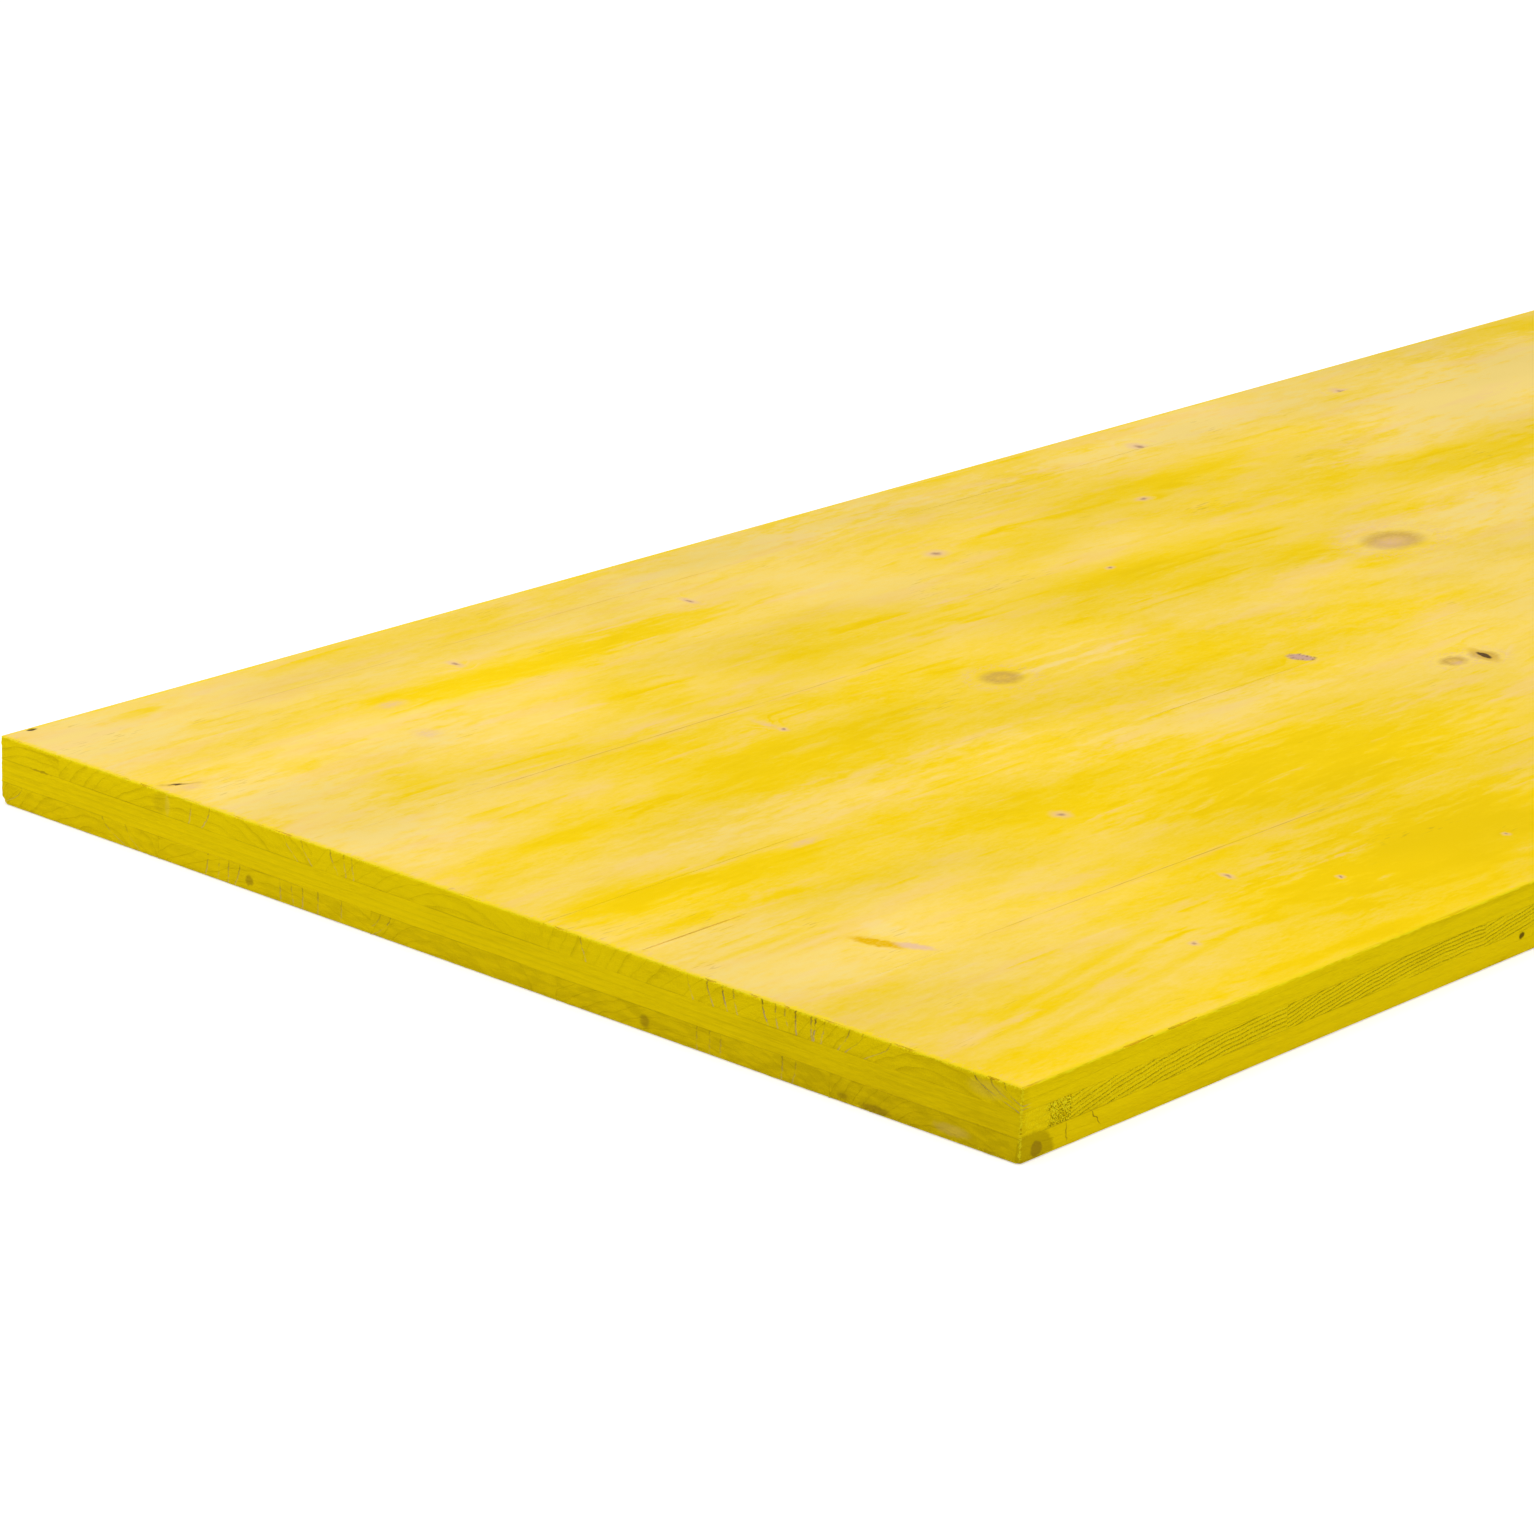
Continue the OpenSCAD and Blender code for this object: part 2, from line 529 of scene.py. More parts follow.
TOP_CHECKS = (
    Check(394, 0.10, 0.4), Check(384, 0.30, 0.6), Check(345, -0.50, 0.5), Check(336, -0.40, 0.7),
    Check(321, -0.30, 0.6), Check(314, -0.10, 0.4), Check(310, -0.10, 0.4), Check(197, -0.20, 0.5),
    Check(147, -0.20, 0.5), Check(138, -0.22, 0.7), Check(131, -0.18, 1.0), Check(126, -0.16, 0.5),
    Check(113, -0.22, 1.0), Check(107, -0.10, 0.6), Check(103, -0.20, 0.6), Check(98, -0.05, 1.0),
    Check(91, -0.05, 0.7), Check(89, 0.05, 1.0), Check(85, 0.10, 0.5), Check(74, 0.35, 0.6),
    Check(68, 0.55, 0.6), Check(56, 0.80, 0.4), Check(21, -1.40, 1.0), Check(14, -1.20, 0.6),
    Check(8, -0.90, 0.9),
)

BOTTOM_CHECKS = (
    Check(488, 0.80, 0.6), Check(443, -1.00, 0.9), Check(430, -0.60, 0.5), Check(385, 0.10, 0.9),
    Check(379, 0.05, 0.5), Check(374, 0.02, 0.9), Check(368, 0.20, 0.8), Check(347, -0.05, 0.8),
    Check(341, -0.10, 0.6), Check(335, 0.00, 0.8), Check(327, 0.00, 0.8), Check(315, 0.00, 0.5),
    Check(295, 0.60, 0.5), Check(290, 0.60, 0.9), Check(142, -0.02, 0.6), Check(136, 0.00, 0.7),
    Check(131, 0.00, 0.7), Check(103, 0.02, 0.8), Check(97, 0.10, 0.6),
)

STAINS = (
    Stain((0, 477, 18), (2, 7.0, 0.5), CUT_KNOT, 0.55),
    Stain((0, 411, 22.5), (2, 4.5, 5.0), CUT_KNOT, 0.22),
    Stain((0, 407, 22), (2, 1.4, 5.0), CHECK_STAIN, 0.08),
    Stain((0, 363, 4), (2, 2.4, 2.4), CUT_KNOT, 0.65),
    Stain((0, 166, 4), (2, 2.6, 2.6), CUT_KNOT, 0.65),
    Stain((0, 62, 1.5), (2, 8.0, 2.0), CUT_KNOT, 0.7),
    Stain((0, 76, 2.5), (2, 3.0, 1.5), CUT_KNOT, 0.5),
    Stain((0, 29, 4), (2, 9.0, 2.4), LILAC, 0.12),
    Stain((0, 13, 0.8), (2, 3.5, 1.1), CUT_KNOT, 0.45),
    Stain((0, 15, 22.5), (2, 9.0, 3.5), CHECK_STAIN, 0.07),
    Stain((5, 0, 2), (12.5, 2, 8.0), PAINTED_LOW_SHADE_AND_KNOT_HALO, 0.9, fade=0.2),
    Stain((8.5, 0, 3.6), (3.2, 2, 3.0), CUT_KNOT, 0.75, fade=0.3),
    Stain((24.0, 0, 5), (0.35, 2, 4.0), CUT_KNOT, 0.7, -0.15),
    Stain((39.2, 0, 6), (0.4, 2, 4.0), CUT_KNOT, 0.9, -0.8),
    Stain((285.5, 0, 7.3), (2.0, 2, 1.5), CUT_SPOT, 0.9),
)

# Where the heart of each board's log lies, across from the piece's near edge and up from the floor,
# and the width of a ring
TOP_HEARTS = ((35, -14, 4.2), (-16, -40, 5.2), (50, -22, 4.6), (64, -60, 4.0), (12, -30, 3.6))
BOTTOM_HEARTS = ((30, -26, 4.4), (70, -90, 4.0), (56, -24, 4.4), (50, -110, 4.0), (36, -34, 4.8))
CORE_HEARTS = ((13, -90, 2.4), (120, -520, 1.6), (110, -520, 1.5), (90, -520, 1.5))
CORE_RING = 1.5
# How thick the glaze is on a face, at the near edge and at the far edge
FACE_TONES = {"top": (0.525, 0.43), "bottom": (0.46, 0.46)}
# The heart of any other core strip: its range across, and how far it is above or below
CORE_HEART_ACROSS = (-60, 180)
CORE_HEART_AWAY = (120, 600)
# The part of the top whose marks are listed one by one reaches this far along, more on the far
# boards
MARKED_TO = 340.0
MARKED_SLANT = 1.2
# Rows of thick and thin glaze over the rest of a face
PATCH_ROW = 100.0
PATCH_SPACING = 95.0
PATCH_START = 60.0
PATCH_SHIFT = (-40, 40)
PATCH_LENGTHS = (50, 120)
PATCH_WIDTHS = (10, 30)
PATCH_STRENGTHS = (-0.20, 0.28)
# Knots over the rest of a board: their places, half lengths and the share of each, and shapes
KNOT_START = (20, 140)
KNOT_SPACING = (90, 330)
KNOT_END_GAP = 20
KNOT_LENGTHS = (2.5, 3.5, 5.0, 8.0, 13.0)
KNOT_SHARES = (0.3, 0.3, 0.2, 0.14, 0.06)
KNOT_MOST_OF_BOARD = 1 / 4
KNOT_ROUND_FROM = 7
KNOT_SMALL_KINDS = ("dash", "dash", "pale", "dark")
KNOT_ACROSS = (0.15, 0.85)
KNOT_SHAPE = (0.7, 1.2)
# Stretches of glue joints that show over the rest of a board
SEAM_START = (0, 500)
SEAM_LENGTHS = (200, 600)
SEAM_STRENGTHS = (0.3, 0.6)
# How many half lengths or half widths out from its middle a mark can still show
PATCH_REACH = 1.8
KNOT_REACH = 4.0


def frame_point(millimetres):
    """A point or row of points of the sheet, in metres in the frame."""
    return CORNER + np.asarray(millimetres, float) * MM


# Boards

def numbered(stem):
    """The names of the frame's nodes with that stem, in order."""
    found = [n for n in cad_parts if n.startswith(stem)]
    return sorted(found, key=lambda n: int(n[len(stem):]))


def placed(marks, board):
    """The marks of a list that lie on a board."""
    return [m for m in marks if board.low[1] <= m.across < board.high[1]]


def reaching(patches, board):
    """The patches of a list that reach onto a board."""
    return [p for p in patches if p.across + PATCH_REACH * p.width > board.low[1]
            and p.across - PATCH_REACH * p.width < board.high[1]]


def touches(stain, board):
    """Whether a stain reaches onto a piece."""
    middle = np.array(stain.middle)
    return np.all(middle + stain.half > board.low) and np.all(middle - stain.half < board.high)


def make_board(node, layer, number):
    """The piece that stands for a node."""
    low, high = (np.array(p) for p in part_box(node))
    seed = SEED + LAYER_SEEDS[layer] + number
    board = Board(node, layer, seed, (low - CORNER) / MM, (high - CORNER) / MM)
    board.stains = [s for s in STAINS if touches(s, board)]
    return board


def scattered_knots(board, rng, start):
    """Small knots along a board, past the listed marks."""
    width = board.high[1] - board.low[1]
    knots = []
    along = start + rng.uniform(*KNOT_START)
    while along < board.high[0] - KNOT_END_GAP:
        length = min(rng.choice(KNOT_LENGTHS, p=KNOT_SHARES), width * KNOT_MOST_OF_BOARD)
        kind = "round" if length > KNOT_ROUND_FROM else rng.choice(KNOT_SMALL_KINDS)
        across = board.low[1] + rng.uniform(*KNOT_ACROSS) * width
        knots.append(Knot(along, across, length, length * rng.uniform(*KNOT_SHAPE), str(kind)))
        along += rng.uniform(*KNOT_SPACING)
    return knots


def marked_to(layer, across):
    """How far along a face the listed marks reach."""
    return MARKED_TO + across * MARKED_SLANT if layer == "top" else 0.0


def scattered_patches(layer):
    """Thick and thin glaze over a whole face, past the listed marks."""
    rng = np.random.default_rng(SEED)
    patches = []
    for row in np.arange(PATCH_ROW / 2, SIZE[1], PATCH_ROW):
        for along in np.arange(marked_to(layer, row) + PATCH_START, SIZE[0], PATCH_SPACING):
            patches.append(Patch(
                along + rng.uniform(*PATCH_SHIFT), row + rng.uniform(-0.5, 0.5) * PATCH_ROW,
                rng.uniform(*PATCH_LENGTHS), rng.uniform(*PATCH_WIDTHS),
                rng.uniform(*PATCH_STRENGTHS)))
    return patches


def scattered_seams(board, rng, start):
    """Stretches of a board's two glue joints that show, past those listed."""
    seams = []
    for across in (board.low[1], board.high[1]):
        if 0 < round(across) < SIZE[1]:
            begin = start + rng.uniform(*SEAM_START)
            stop = begin + rng.uniform(*SEAM_LENGTHS)
            seams.append(Seam(across, begin, stop, rng.uniform(*SEAM_STRENGTHS)))
    return seams


def seams_beside(board, seams):
    """The seams of a list that lie on a board's two edges."""
    return [s for s in seams if round(board.low[1]) <= s.across <= round(board.high[1])]


def top_boards():
    patches = list(TOP_PATCHES) + scattered_patches("top")
    for i, node in enumerate(numbered("top_board_")):
        board = make_board(node, "top", i)
        *board.heart, board.ring = TOP_HEARTS[i]
        board.checks = placed(TOP_CHECKS, board)
        rng = np.random.default_rng(board.seed)
        start = marked_to("top", board.high[1])
        board.knots = placed(TOP_KNOTS, board) + scattered_knots(board, rng, start)
        board.patches = reaching(patches, board)
        board.seams = seams_beside(board, TOP_SEAMS) + scattered_seams(board, rng, start)
        yield board


def core_strips():
    for i, node in enumerate(numbered("core_strip_")):
        board = make_board(node, "core", i)
        rng = np.random.default_rng(board.seed)
        heart_side = rng.choice((-1, 1))
        board.heart = rng.uniform(*CORE_HEART_ACROSS), heart_side * rng.uniform(*CORE_HEART_AWAY)
        board.ring = CORE_RING
        if i < len(CORE_HEARTS):
            *board.heart, board.ring = CORE_HEARTS[i]
        yield board


def bottom_boards():
    patches = scattered_patches("bottom")
    for i, node in enumerate(numbered("bottom_board_")):
        board = make_board(node, "bottom", i)
        *board.heart, board.ring = BOTTOM_HEARTS[i]
        board.checks = placed(BOTTOM_CHECKS, board)
        rng = np.random.default_rng(board.seed)
        board.knots = scattered_knots(board, rng, 0)
        board.patches = reaching(patches, board)
        board.seams = scattered_seams(board, rng, 0)
        yield board


# Meshes

def grid_lines(low, high, step, near, far):
    """Places of grid lines from low to high: close at both ends, about a step apart between."""
    start, stop = low + max(near), high - max(far)
    count = max(1, round((stop - start) / step))
    middle = np.linspace(start, stop, count + 1)
    fine_near = [low] + [low + d for d in near[:-1]]
    fine_far = [high - d for d in reversed(far[:-1])] + [high]
    return np.array(fine_near + list(middle) + fine_far)


def board_lines(board):
    """Grid lines of a piece along the three axes."""
    steps = [LENGTH_STEP, WIDTH_STEP, HEIGHT_STEP]
    if board.layer == "core":
        steps = [STRIP_STEP, STRIP_LENGTH_STEP, HEIGHT_STEP]
    if board.is_torn:
        steps = [TORN_STEP, STRIP_LENGTH_STEP, TORN_STEP]
    lines = []
    for axis in range(3):
        near = OUTER_LINES if np.isclose(board.low[axis], 0) else INNER_LINES
        far = OUTER_LINES if np.isclose(board.high[axis], SIZE[axis]) else INNER_LINES
        if axis == 2:
            near, far = near[:LINES_IN_THICKNESS], far[:LINES_IN_THICKNESS]
        lines.append(grid_lines(board.low[axis], board.high[axis], steps[axis], near, far))
    if board.is_split:
        groove = SPLIT_ACROSS + SPLIT_HALF_WIDTH * np.array((-1, 0, 1))
        kept = lines[1][np.abs(lines[1] - SPLIT_ACROSS) > SPLIT_CLEARANCE]
        lines[1] = np.sort(np.concatenate((kept, groove)))
    return lines


def lattice_box(lines):
    """A closed box with a grid on every side: its points, its quads and each quad's axis."""
    shape = tuple(len(x) for x in lines)
    index = np.indices(shape)
    skin = np.zeros(shape, bool)
    for axis in range(3):
        skin |= (index[axis] == 0) | (index[axis] == shape[axis] - 1)
    number = np.full(shape, -1)
    number[skin] = np.arange(skin.sum())
    points = np.stack(np.meshgrid(*lines, indexing="ij"), -1)[skin]
    quads, axes = [], []
    for axis in range(3):
        for end in (0, -1):
            side = np.take(number, end, axis=axis)
            around = [side[:-1, :-1], side[1:, :-1], side[1:, 1:], side[:-1, 1:]]
            if (end == 0) == (axis != 1):
                around.reverse()
            made = np.stack(around, -1).reshape(-1, 4)
            quads.append(made)
            axes.append(np.full(len(made), axis))
    return points, np.concatenate(quads), np.concatenate(axes)


def wavering(places, rng, step, low, high):
    """A smooth random value along a line, between low and high."""
    ends = np.arange(places.min() - step, places.max() + 2 * step, step)
    return np.interp(places, ends, rng.uniform(low, high, len(ends)))


def eased(points, board, rng):
    """Rounds the outer edges and opens the joints, unevenly, as on sawn and handled wood."""
    low_side = np.isclose(points, board.low)
    high_side = np.isclose(points, board.high)
    outer = (low_side & np.isclose(board.low, 0)) | (high_side & np.isclose(board.high, SIZE))
    sides = (low_side | high_side).sum(1)
    all_outer = sides == outer.sum(1)
    along, across, up = points[:, board.grain], points[:, 1 - board.grain], points[:, 2]
    run = along + EDGE_APART_ACROSS * across + EDGE_APART_UP * up
    chips = CHIP_DEPTH * np.clip(wavering(run, rng, CHIP_SPACING, *CHIP_RANGE), 0, 1)
    waves = WAVE_DEPTH * np.clip(wavering(run, rng, WAVE_SPACING, *WAVE_RANGE), 0, 1)
    rounding = ARRIS * ROUNDING * wavering(run, rng, ROUNDING_SPACING, *ROUNDING_RANGE)
    opening = JOINT_OPENING * np.clip(wavering(run, rng, JOINT_SPACING, *JOINT_RANGE), 0, 1)
    move = np.where(all_outer, rounding + chips + waves, opening)
    move = np.where((sides >= 2) & outer.any(1), move, 0.0)[:, None]
    return points + move * low_side - move * high_side


def worn(points, rng):
    """Breaks off the sheet's corners that took a knock, unevenly."""
    points = points.copy()
    for ends, cut in WORN_CORNERS:
        corner = np.array(ends) * SIZE
        inward = np.where(np.array(ends) == 0, 1.0, -1.0)
        depth = ((points - corner) * inward).sum(1)
        ragged = cut * rng.uniform(*WORN_RANGE, len(points))
        short = np.clip(ragged - depth, 0, None)
        points += short[:, None] * inward / len(ends)
    return points


def torn(points, rng):
    """Pits the torn end grain of the first core strip, where the saw pulled fibres out."""
    points = points.copy()
    near_side = np.isclose(points[:, 1], 0)
    start = TORN_FROM + rng.uniform(*TORN_START_SHIFT, len(points))
    inside = near_side & (points[:, 0] > start) & (points[:, 0] < TORN_TO)
    points[inside, 1] += TORN_DEPTH * rng.random(inside.sum()) ** TORN_BIAS
    return points


def split_open(points, board):
    """Opens the drying split in a board, deepest towards the near end."""
    points = points.copy()
    run = np.clip((points[:, 0] - SPLIT_FROM) / (SPLIT_TO - SPLIT_FROM), 0, 1)
    opened = np.isclose(points[:, 1], SPLIT_ACROSS) & np.isclose(points[:, 2], board.high[2])
    points[opened, 2] -= SPLIT_DEPTH * np.sin(math.pi * run[opened] ** SPLIT_BIAS)
    return points


def board_mesh(board):
    """The mesh of a piece: its cut sides have material 0, its faces one for each stretch."""
    rng = np.random.default_rng(board.seed)
    points, quads, axes = lattice_box(board_lines(board))
    stretch = np.clip(points[quads].mean(1)[:, 0] // STRETCH, 0, STRETCHES - 1)
    material = np.where(axes == 2, 1 + stretch, 0).astype(np.int32)
    if board.is_split:
        points = split_open(points, board)
    points = eased(points, board, rng)
    if board.is_torn:
        points = torn(points, rng)
    points = worn(points, rng)
    mesh = bpy.data.meshes.new(board.node + "_wood")
    mesh.from_pydata(frame_point(points).tolist(), [], quads.tolist())
    if board.layer != "core":
        mesh.polygons.foreach_set("material_index", material)
    middles = points[quads].mean(1)
    is_pitted = board.is_torn & (middles[:, 1] < 2 * TORN_DEPTH) & (middles[:, 0] > TORN_FROM)
    mesh.polygons.foreach_set("use_smooth", ~is_pitted)
    mesh.set_sharp_from_angle(angle=SHARP_ANGLE)
    mesh.update()
    return mesh


# Shaders

class Graph:
    """A material's nodes. Each method adds a node and returns its output."""

    def __init__(self, name):
        self.material = bpy.data.materials.new(name)
        self.material.use_nodes = True
        self.nodes = self.material.node_tree.nodes
        self.links = self.material.node_tree.links
        self.nodes.clear()

    def add(self, kind, inputs, output=0, **settings):
        node = self.nodes.new(kind)
        for name, value in settings.items():
            setattr(node, name, value)
        for key, value in inputs.items():
            if isinstance(value, bpy.types.NodeSocket):
                self.links.new(value, node.inputs[key])
            else:
                node.inputs[key].default_value = value
        return node.outputs[output]

    def math(self, operation, a, b=0.0):
        return self.add("ShaderNodeMath", {0: a, 1: b}, operation=operation)

    def plus(self, a, b):
        return self.math("ADD", a, b)

    def minus(self, a, b):
        return self.math("SUBTRACT", a, b)

    def times(self, a, b):
        return self.math("MULTIPLY", a, b)

    def weighed(self, *terms):
        """The sum of noises about their middle, each times its weight."""
        total = 0.0
        for value, weight in terms:
            part = self.times(self.minus(value, 0.5), weight)
            total = self.plus(part, total)
        return total

    def step(self, value, low, high, start=0.0, end=1.0):
        """A smooth change from start to end as value goes from low to high."""
        return self.add(
            "ShaderNodeMapRange", {"Value": value, 1: low, 2: high, 3: start, 4: end},
            interpolation_type="SMOOTHSTEP")

    def mix(self, factor, a, b):
        return self.add("ShaderNodeMix", {0: factor, 6: a, 7: b}, output=2, data_type="RGBA")

    def vector(self, x, y, z):
        return self.add("ShaderNodeCombineXYZ", {0: x, 1: y, 2: z})

    def split(self, vector):
        node = self.nodes.new("ShaderNodeSeparateXYZ")
        self.links.new(vector, node.inputs[0])
        return tuple(node.outputs)

    def stretched(self, vector, scale, shift):
        """A vector times a scale, with a shift added."""
        return self.add(
            "ShaderNodeVectorMath", {0: vector, 1: scale, 2: shift}, operation="MULTIPLY_ADD")

    def length(self, vector):
        return self.add("ShaderNodeVectorMath", {0: vector}, output="Value", operation="LENGTH")

    def noise(self, vector, kind, seed):
        """A noise over a point, by the seed of its kind and a given one together."""
        scale = tuple(1.0 / length for length in kind.lengths)
        shift = tuple((seed + kind.seed) * s for s in SEED_SHIFT)
        return self.add("ShaderNodeTexNoise", {
            "Vector": self.stretched(vector, scale, shift), "Scale": 1.0,
            "Detail": kind.detail, "Roughness": kind.roughness})

    def sheared(self, point, axis, place, push):
        """A point pushed by how far it lies past a place on one axis."""
        past = self.minus(self.split(point)[axis], float(place))
        return self.stretched(past, push, point)

    def scaled(self, vector, amount):
        return self.add("ShaderNodeVectorMath", {0: vector, "Scale": amount}, operation="SCALE")

    def warped(self, point, noise, amounts):
        """A point pushed about by a noise, up to half the given amounts each way."""
        return self.stretched(self.minus(noise, 0.5), amounts, point)

    def from_sides(self, value, size):
        """Distance from the nearer of two opposite sides of the sheet."""
        return self.math("MINIMUM", value, self.minus(float(size), value))

    def distance(self, point, middle, half):
        """Distance from the middle of an oval, 1 at its outline."""
        scale = tuple(1 / h if h else 0.0 for h in half)
        shift = tuple(-m * s for m, s in zip(middle, scale))
        return self.length(self.stretched(point, scale, shift))

    def ramp(self, value, stops):
        node = self.nodes.new("ShaderNodeValToRGB")
        elements = node.color_ramp.elements
        while len(elements) < len(stops):
            elements.new(0.5)
        for element, (place, colour) in zip(elements, stops):
            element.position = place
            element.color = colour
        self.links.new(value, node.inputs[0])
        return node.outputs[0]

    def output(self, shader):
        end = self.nodes.new("ShaderNodeOutputMaterial")
        self.links.new(shader, end.inputs["Surface"])
        return self.material


def sheet_point(g):
    """The surface point in millimetres from the sheet's near corner."""
    place = g.nodes.new("ShaderNodeTexCoord").outputs["Object"]
    return g.stretched(place, (1 / MM,) * 3, tuple(-CORNER / MM))


def grain_point(g, board):
    """The surface point along the grain, across it and up from the floor."""
    point = sheet_point(g)
    if board.grain == 0:
        return point
    x, y, z = g.split(point)
    return g.vector(y, x, z)


def flowing(g, board, point):
    """The point with the slow wander of the grain in it."""
    sway = CORE_SWAY if board.layer == "core" else FACE_SWAY
    return g.warped(point, g.noise(point, WANDER, board.seed), sway)


def rings(g, board, flow, swell):
    """Late wood of the growth rings, 0 to 1 and crisp at its outer side, and a value for each."""
    across, up = board.heart
    centre = (0.0, -board.low[1 - board.grain] - across, -float(up))
    reach = g.plus(g.length(g.stretched(flow, (0.0, 1.0, 1.0), centre)), swell)
    ripple = g.noise(flow, RIPPLE, board.seed)
    turn = g.plus(g.times(reach, 1 / board.ring), g.times(ripple, RIPPLE_WEIGHT))
    part = g.math("FRACT", turn)
    number = g.plus(g.math("FLOOR", turn), board.seed * RING_SEED)
    each = g.add("ShaderNodeTexWhiteNoise", {"W": number}, noise_dimensions="1D")
    return g.times(g.step(part, *LATE_RISE), g.step(part, *LATE_FALL)), each


def marks_near(marks, start, stop, reach):
    """The marks that can be seen between two places along a board."""
    return [m for m in marks
            if m.along + m.length * reach > start and m.along - m.length * reach < stop]


def face_material(board, start, stop):
    """The glazed face of a board between two places along it."""
    g = Graph(f"{board.node}_face_{start:.0f}")
    point = grain_point(g, board)
    along, across, _ = g.split(point)
    flow = flowing(g, board, point)
    streak = g.noise(flow, STREAK, board.seed)
    brush = g.noise(point, BRUSH, board.seed)
    fibre = g.noise(point, FIBRE, board.seed)
    knots = knots_between(g, board, point, start, stop)
    pale, deep = grain_lines(g, board, flow, swelling(g, knots))
    glaze = glaze_thickness(g, board, point, streak, brush, fibre, start, stop)
    glaze = g.plus(glaze, g.minus(g.times(deep, DEEP_WEIGHT), g.times(pale, PALE_WEIGHT)))
    colour = glaze_colour(g, board, point, flow, glaze, pale, brush)

    end = g.from_sides(along, SIZE[0])
    flecks = g.times(g.step(end, *FLECK_AT_END), g.step(fibre, *FLECK_SHOWN))
    colour = g.mix(flecks, colour, LILAC)
    colour = g.mix(nicks(g, board, point, flow, end), colour, SEAM_STAIN)
    for knot, around in knots:
        colour = knotted(g, colour, knot, around, fibre)
    for seam in board.seams:
        line, border = hairline(g, seam, along, across, streak)
        colour = g.mix(border, colour, PEACH)
        colour = g.mix(line, colour, SEAM_STAIN)
    nearest = g.math("MINIMUM", end, g.from_sides(across, SIZE[1]))
    rim = g.plus(nearest, g.weighed((brush, RIM_RAGGED)))
    colour = g.mix(g.step(rim, *RIM_FADE), colour, EDGE_GLAZE)

    height = g.weighed((brush, BRUSH_HEIGHT), (fibre, FIBRE_HEIGHT))
    return finished(g, colour, height, g.step(glaze, *FACE_ROUGHNESS), FACE_RELIEF)


def knots_between(g, board, point, start, stop):
    """The knots between two places along a board, each with the distance from its middle."""
    ragged = g.warped(point, g.noise(point, KNOT_EDGE, board.seed), KNOT_RAGGED)
    knots = []
    for knot in marks_near(board.knots, start, stop, KNOT_REACH):
        place = g.sheared(ragged, 1, knot.across, (-knot.lean, 0.0, 0.0)) if knot.lean else ragged
        around = g.distance(place, (knot.along, knot.across, 0), (knot.length, knot.width, 0))
        knots.append((knot, around))
    return knots


def swelling(g, knots):
    """How far the rings are pushed out around knots."""
    swell = 0.0
    for knot, around in knots:
        swell = g.plus(g.step(around, 0.0, SWELL_REACH, knot.width * SWELL_SHARE, 0.0), swell)
    return swell


def grain_lines(g, board, flow, swell):
    """The rings that show as pale lines, and those that show as deep ones."""
    late, each = rings(g, board, flow, swell)
    lines = g.times(late, g.step(each, *RING_SHOWN))
    comb = g.noise(flow, COMB, board.seed)
    return g.times(lines, g.step(comb, *PALE_WHERE)), g.times(lines, g.step(comb, *DEEP_WHERE))


def glaze_thickness(g, board, point, streak, brush, fibre, start, stop):
    """How thick the glaze is, with its patches between two places along a board."""
    along, across, _ = g.split(point)
    cloud = g.noise(point, CLOUD, SEED)
    glaze = g.weighed(
        (cloud, CLOUD_WEIGHT), (streak, STREAK_WEIGHT), (brush, BRUSH_WEIGHT), (fibre, FIBRE_WEIGHT))
    glaze = g.plus(glaze, g.step(along, *NEAR_TREND))
    glaze = g.plus(glaze, g.step(along, *FAR_TREND))
    glaze = g.plus(glaze, g.step(across, 0.0, float(SIZE[1]), *FACE_TONES[board.layer]))
    frayed = g.weighed((streak, STREAK_FRAY), (brush, BRUSH_FRAY), (cloud, CLOUD_FRAY))
    for patch in marks_near(board.patches, start, stop, PATCH_REACH):
        place = g.sheared(point, 0, patch.along, (0.0, -patch.lean, 0.0)) if patch.lean else point
        around = g.distance(place, (patch.along, patch.across, 0), (patch.length, patch.width, 0))
        glaze = g.plus(glaze, g.step(g.plus(around, frayed), *PATCH_FADE, patch.strength, 0.0))
    return glaze


def glaze_colour(g, board, point, flow, glaze, pale, brush):
    """The colour of the glaze by its thickness, with a blush of bare wood here and there."""
    colour = g.ramp(glaze, GLAZE_STOPS)
    colour = g.mix(g.times(pale, g.step(brush, *PALE_BLUSH)), colour, PEACH)
    blush = g.step(g.noise(flow, BLUSH, board.seed), *BLUSH_SHOWN)
    colour = g.mix(g.times(blush, g.step(glaze, *BLUSH_GLAZE)), colour, PEACH)
    shade = g.noise(point, SHADE, SEED)
    return g.scaled(colour, g.plus(g.weighed((shade, SHADE_WEIGHT)), 1.0))


def nicks(g, board, point, flow, end):
    """Short dark nicks along the grain, in crowds and mostly towards the sheet's ends."""
    nick = g.noise(flow, NICK, board.seed)
    crowd = g.plus(g.noise(point, CROWD, SEED), g.step(end, *CROWD_AT_END))
    return g.times(g.step(nick, *NICK_SHOWN), g.step(crowd, *CROWD_SHOWN))


